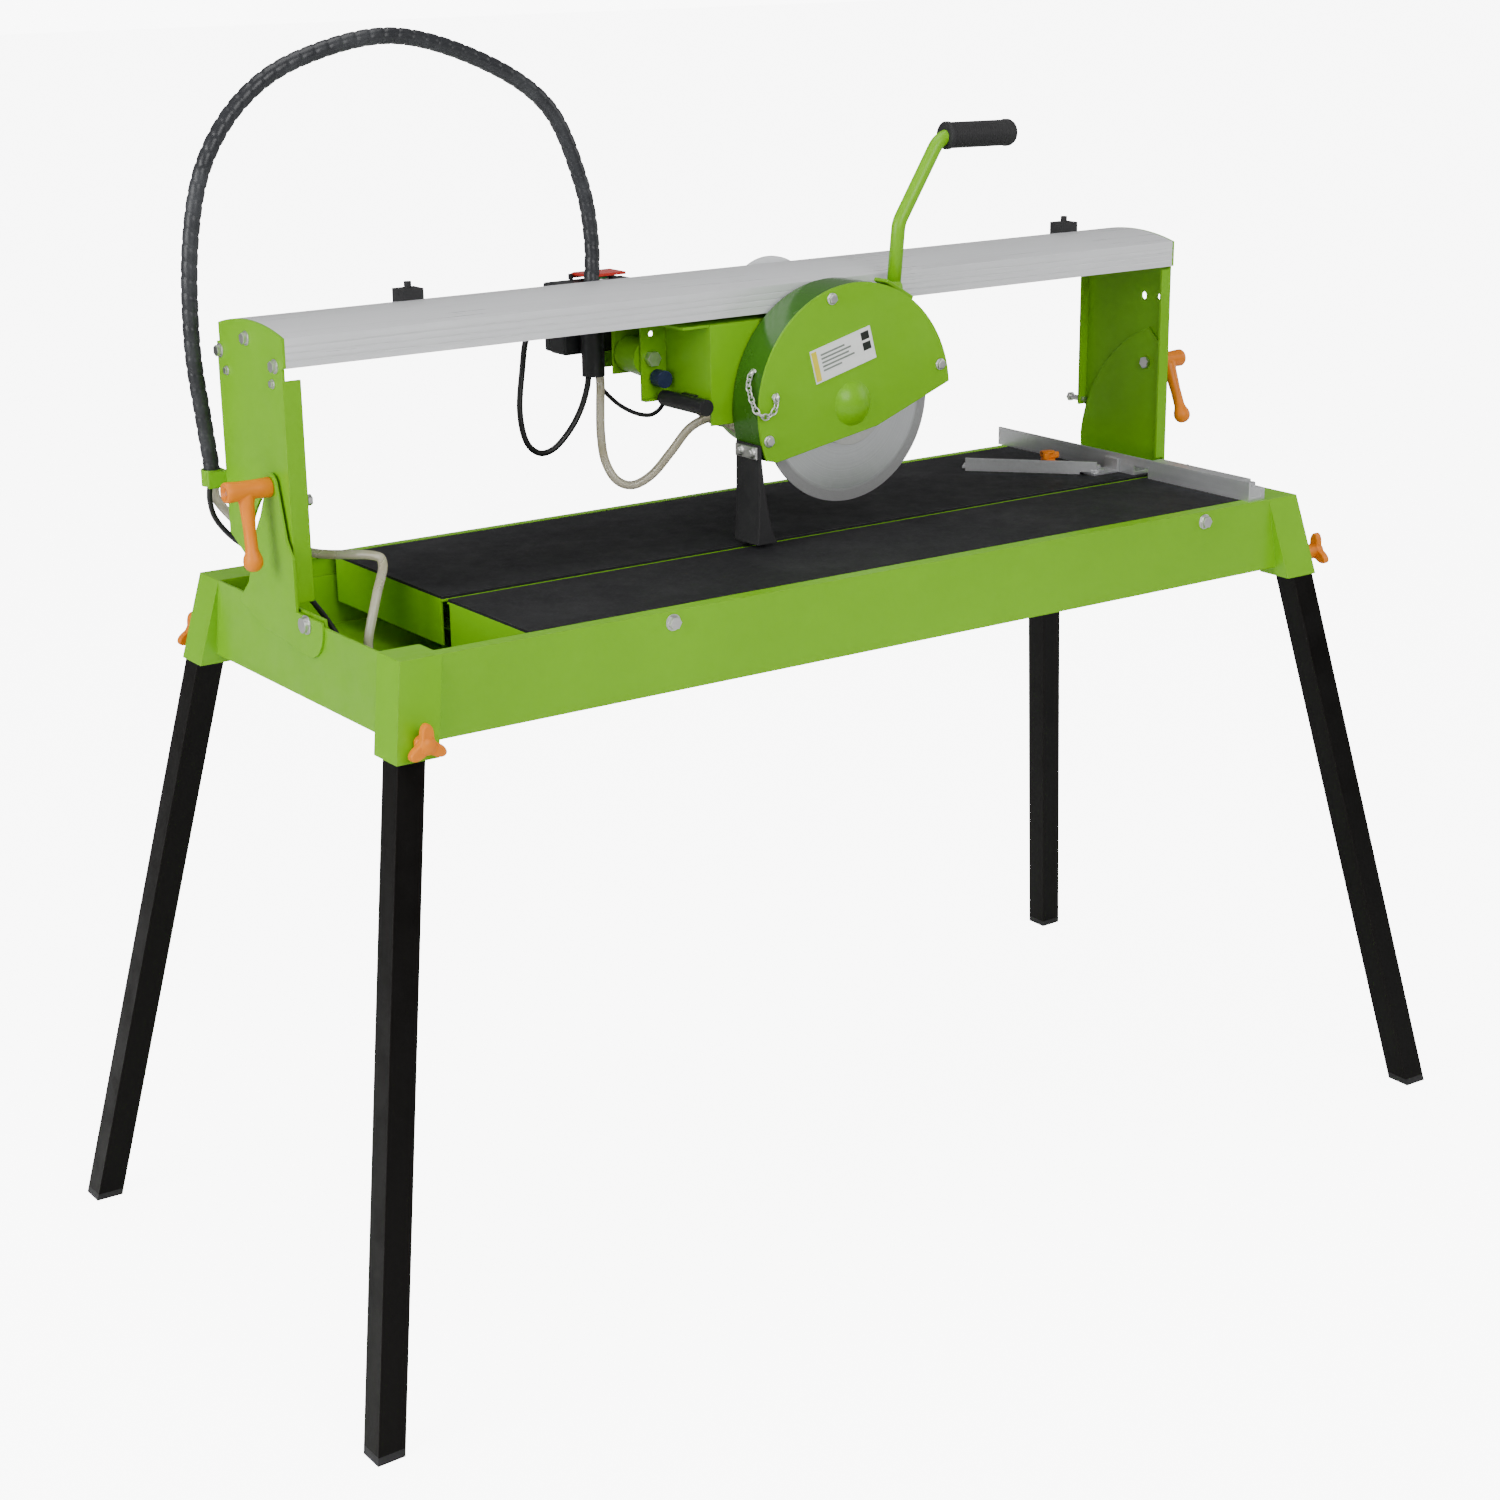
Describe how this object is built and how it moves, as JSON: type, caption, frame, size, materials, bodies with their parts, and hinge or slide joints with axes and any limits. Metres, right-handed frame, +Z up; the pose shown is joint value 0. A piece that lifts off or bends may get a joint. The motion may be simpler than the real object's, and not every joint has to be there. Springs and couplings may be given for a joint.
{
  "type": "tile cutter",
  "caption": "Wet bridge tile saw: a motor head with guarded blade rolls along a tilting rail over a ribbed table with water tray, on splayed tube legs.",
  "frame": {"origin": "on the floor under the middle of the base", "axes": "+X along the rail towards the fence end, +Y to the rear, away from the user, +Z up"},
  "size_m": [1.4906, 0.7256, 1.3165],
  "materials": {
    "green_paint": "gloss powder coat",
    "black_paint": "semi-gloss powder coat",
    "black_plastic": "moulded",
    "mat_rubber": "fine ribbed rubber",
    "orange_plastic": "moulded",
    "bright_steel": "zinc plated",
    "blade_steel": "ground",
    "rail_aluminium": "extruded and anodised",
    "motor_grey": "cast and painted",
    "hose_sleeve": "spiral wrap",
    "cable_black": "smooth sheath",
    "clear_hose": "clear tube",
    "red_plastic": "moulded",
    "green_plastic": "moulded",
    "blue_plastic": "moulded",
    "white_plate": "plain plate"
  },
  "bodies": {
    "base": {"base_frame": "green_paint", "water_tray": "green_paint", "leg_front_left": "black_paint", "leg_front_right": "black_paint", "leg_rear_left": "black_paint", "leg_rear_right": "black_paint", "foot_caps": "black_plastic", "table_front": "green_paint", "table_rear": "green_paint", "mat_front": "mat_rubber", "mat_rear": "mat_rubber", "table_supports": "green_paint", "pivot_plate_left": "green_paint", "pivot_plate_right": "green_paint", "base_bolts": "bright_steel", "pump": "black_plastic", "pump_hose": "clear_hose", "pump_cable": "cable_black", "fence": "rail_aluminium"},
    "clamp_front_left": {"knob_front_left": "orange_plastic"},
    "clamp_front_right": {"knob_front_right": "orange_plastic"},
    "clamp_rear_left": {"knob_rear_left": "orange_plastic"},
    "clamp_rear_right": {"knob_rear_right": "orange_plastic"},
    "lock_left": {"bevel_lever_left": "orange_plastic"},
    "lock_right": {"bevel_lever_right": "orange_plastic"},
    "bridge": {"upright_left": "green_paint", "upright_right": "green_paint", "rail": "rail_aluminium", "rail_screws": "bright_steel", "rail_stops": "mat_rubber", "hose_clip": "green_paint", "hose_bundle": "hose_sleeve"},
    "carriage": {"trolley": "green_paint", "trolley_cap": "rail_aluminium", "switch_box": "black_plastic", "hose_gland": "black_plastic", "cable_loop": "cable_black", "water_hose": "clear_hose", "capacitor_cable": "cable_black", "capacitor": "black_plastic"},
    "rollers_left": {"wheels_left": "mat_rubber"},
    "rollers_right": {"wheels_right": "mat_rubber"},
    "flap": {"stop_flap": "red_plastic"},
    "button": {"start_button": "green_plastic"},
    "depth_stop": {"depth_knob": "blue_plastic"},
    "head": {"head_arm": "green_paint", "pivot_pin": "bright_steel", "motor_body": "motor_grey", "motor_cover": "black_plastic", "guard_back": "green_paint", "guard_front": "green_paint", "label_plate": "white_plate", "handle": "green_paint", "grip": "mat_rubber", "splash_flap": "mat_rubber", "chain_clamp": "bright_steel"},
    "arbor": {"spindle": "bright_steel", "blade": "blade_steel"},
    "shoe": {"guide_shoe": "bright_steel"},
    "guide": {"mitre_guide": "rail_aluminium"},
    "guide_clamp": {"guide_knob": "orange_plastic"}
  },
  "joints": [
    {"name": "knob_front_left_turn", "type": "hinge", "parent": "base", "child": "clamp_front_left", "pos_m": [-0.597, -0.244, 0.676], "axis": [0, -1, 0], "range_deg": [0, 720]},
    {"name": "knob_front_right_turn", "type": "hinge", "parent": "base", "child": "clamp_front_right", "pos_m": [0.623, -0.218, 0.676], "axis": [1, 0, 0], "range_deg": [0, 720]},
    {"name": "knob_rear_left_turn", "type": "hinge", "parent": "base", "child": "clamp_rear_left", "pos_m": [-0.597, 0.244, 0.676], "axis": [0, 1, 0], "range_deg": [0, 720]},
    {"name": "knob_rear_right_turn", "type": "hinge", "parent": "base", "child": "clamp_rear_right", "pos_m": [0.597, 0.244, 0.676], "axis": [0, 1, 0], "range_deg": [0, 720]},
    {"name": "lever_left_turn", "type": "hinge", "parent": "base", "child": "lock_left", "pos_m": [-0.608, 0.02915, 0.8801], "axis": [1, 0, 0], "range_deg": [-60, 90]},
    {"name": "lever_right_turn", "type": "hinge", "parent": "base", "child": "lock_right", "pos_m": [0.605, 0.02915, 0.8801], "axis": [1, 0, 0], "range_deg": [-60, 90]},
    {"name": "bevel", "type": "hinge", "parent": "base", "child": "bridge", "pos_m": [0, -0.036, 0.75], "axis": [1, 0, 0], "range_deg": [0, 45], "deforming": ["pump_hose", "pump_cable"]},
    {"name": "trolley_travel", "type": "slide", "parent": "bridge", "child": "carriage", "axis": [1, 0, 0], "range_m": [-0.34, 0.35], "deforming": ["hose_bundle"]},
    {"name": "wheels_left_roll", "type": "hinge", "parent": "carriage", "child": "rollers_left", "pos_m": [-0.1, 0.0665, 1.01805], "axis": [0, 1, 0], "range_deg": [-1700, 1700]},
    {"name": "wheels_right_roll", "type": "hinge", "parent": "carriage", "child": "rollers_right", "pos_m": [0.03, 0.0665, 1.01805], "axis": [0, 1, 0], "range_deg": [-1700, 1700]},
    {"name": "flap_lift", "type": "hinge", "parent": "carriage", "child": "flap", "pos_m": [-0.109, 0.208, 1.033], "axis": [-1, 0, 0], "range_deg": [0, 100]},
    {"name": "start_press", "type": "slide", "parent": "carriage", "child": "button", "axis": [0, 0, -1], "range_m": [0, 0.003], "stiffness_N_per_m": 300},
    {"name": "depth_knob_turn", "type": "hinge", "parent": "carriage", "child": "depth_stop", "pos_m": [-0.106, 0.07, 0.93], "axis": [0, 1, 0], "range_deg": [0, 720]},
    {"name": "plunge", "type": "hinge", "parent": "carriage", "child": "head", "pos_m": [-0.112, 0.105, 0.952], "axis": [0, 1, 0], "range_deg": [0, 15], "deforming": ["water_hose", "splash_flap"]},
    {"name": "blade_spin", "type": "hinge", "parent": "head", "child": "arbor", "pos_m": [0.072, -0.036, 0.901], "axis": [0, 1, 0], "continuous": true},
    {"name": "guide_slide", "type": "slide", "parent": "base", "child": "shoe", "axis": [0, 1, 0], "range_m": [0, 0.06]},
    {"name": "guide_swing", "type": "hinge", "parent": "shoe", "child": "guide", "pos_m": [0.5, 0.014, 0.756], "axis": [0, 0, 1], "range_deg": [-27, 58]},
    {"name": "guide_knob_turn", "type": "hinge", "parent": "guide", "child": "guide_clamp", "pos_m": [0.46169, 0.05892, 0.762], "axis": [0, 0, 1], "range_deg": [0, 720]}
  ],
  "couplings": [
    {"joint": "wheels_left_roll", "follows": "trolley_travel", "rad_per_m": 83.333},
    {"joint": "wheels_right_roll", "follows": "trolley_travel", "rad_per_m": 83.333}
  ]
}
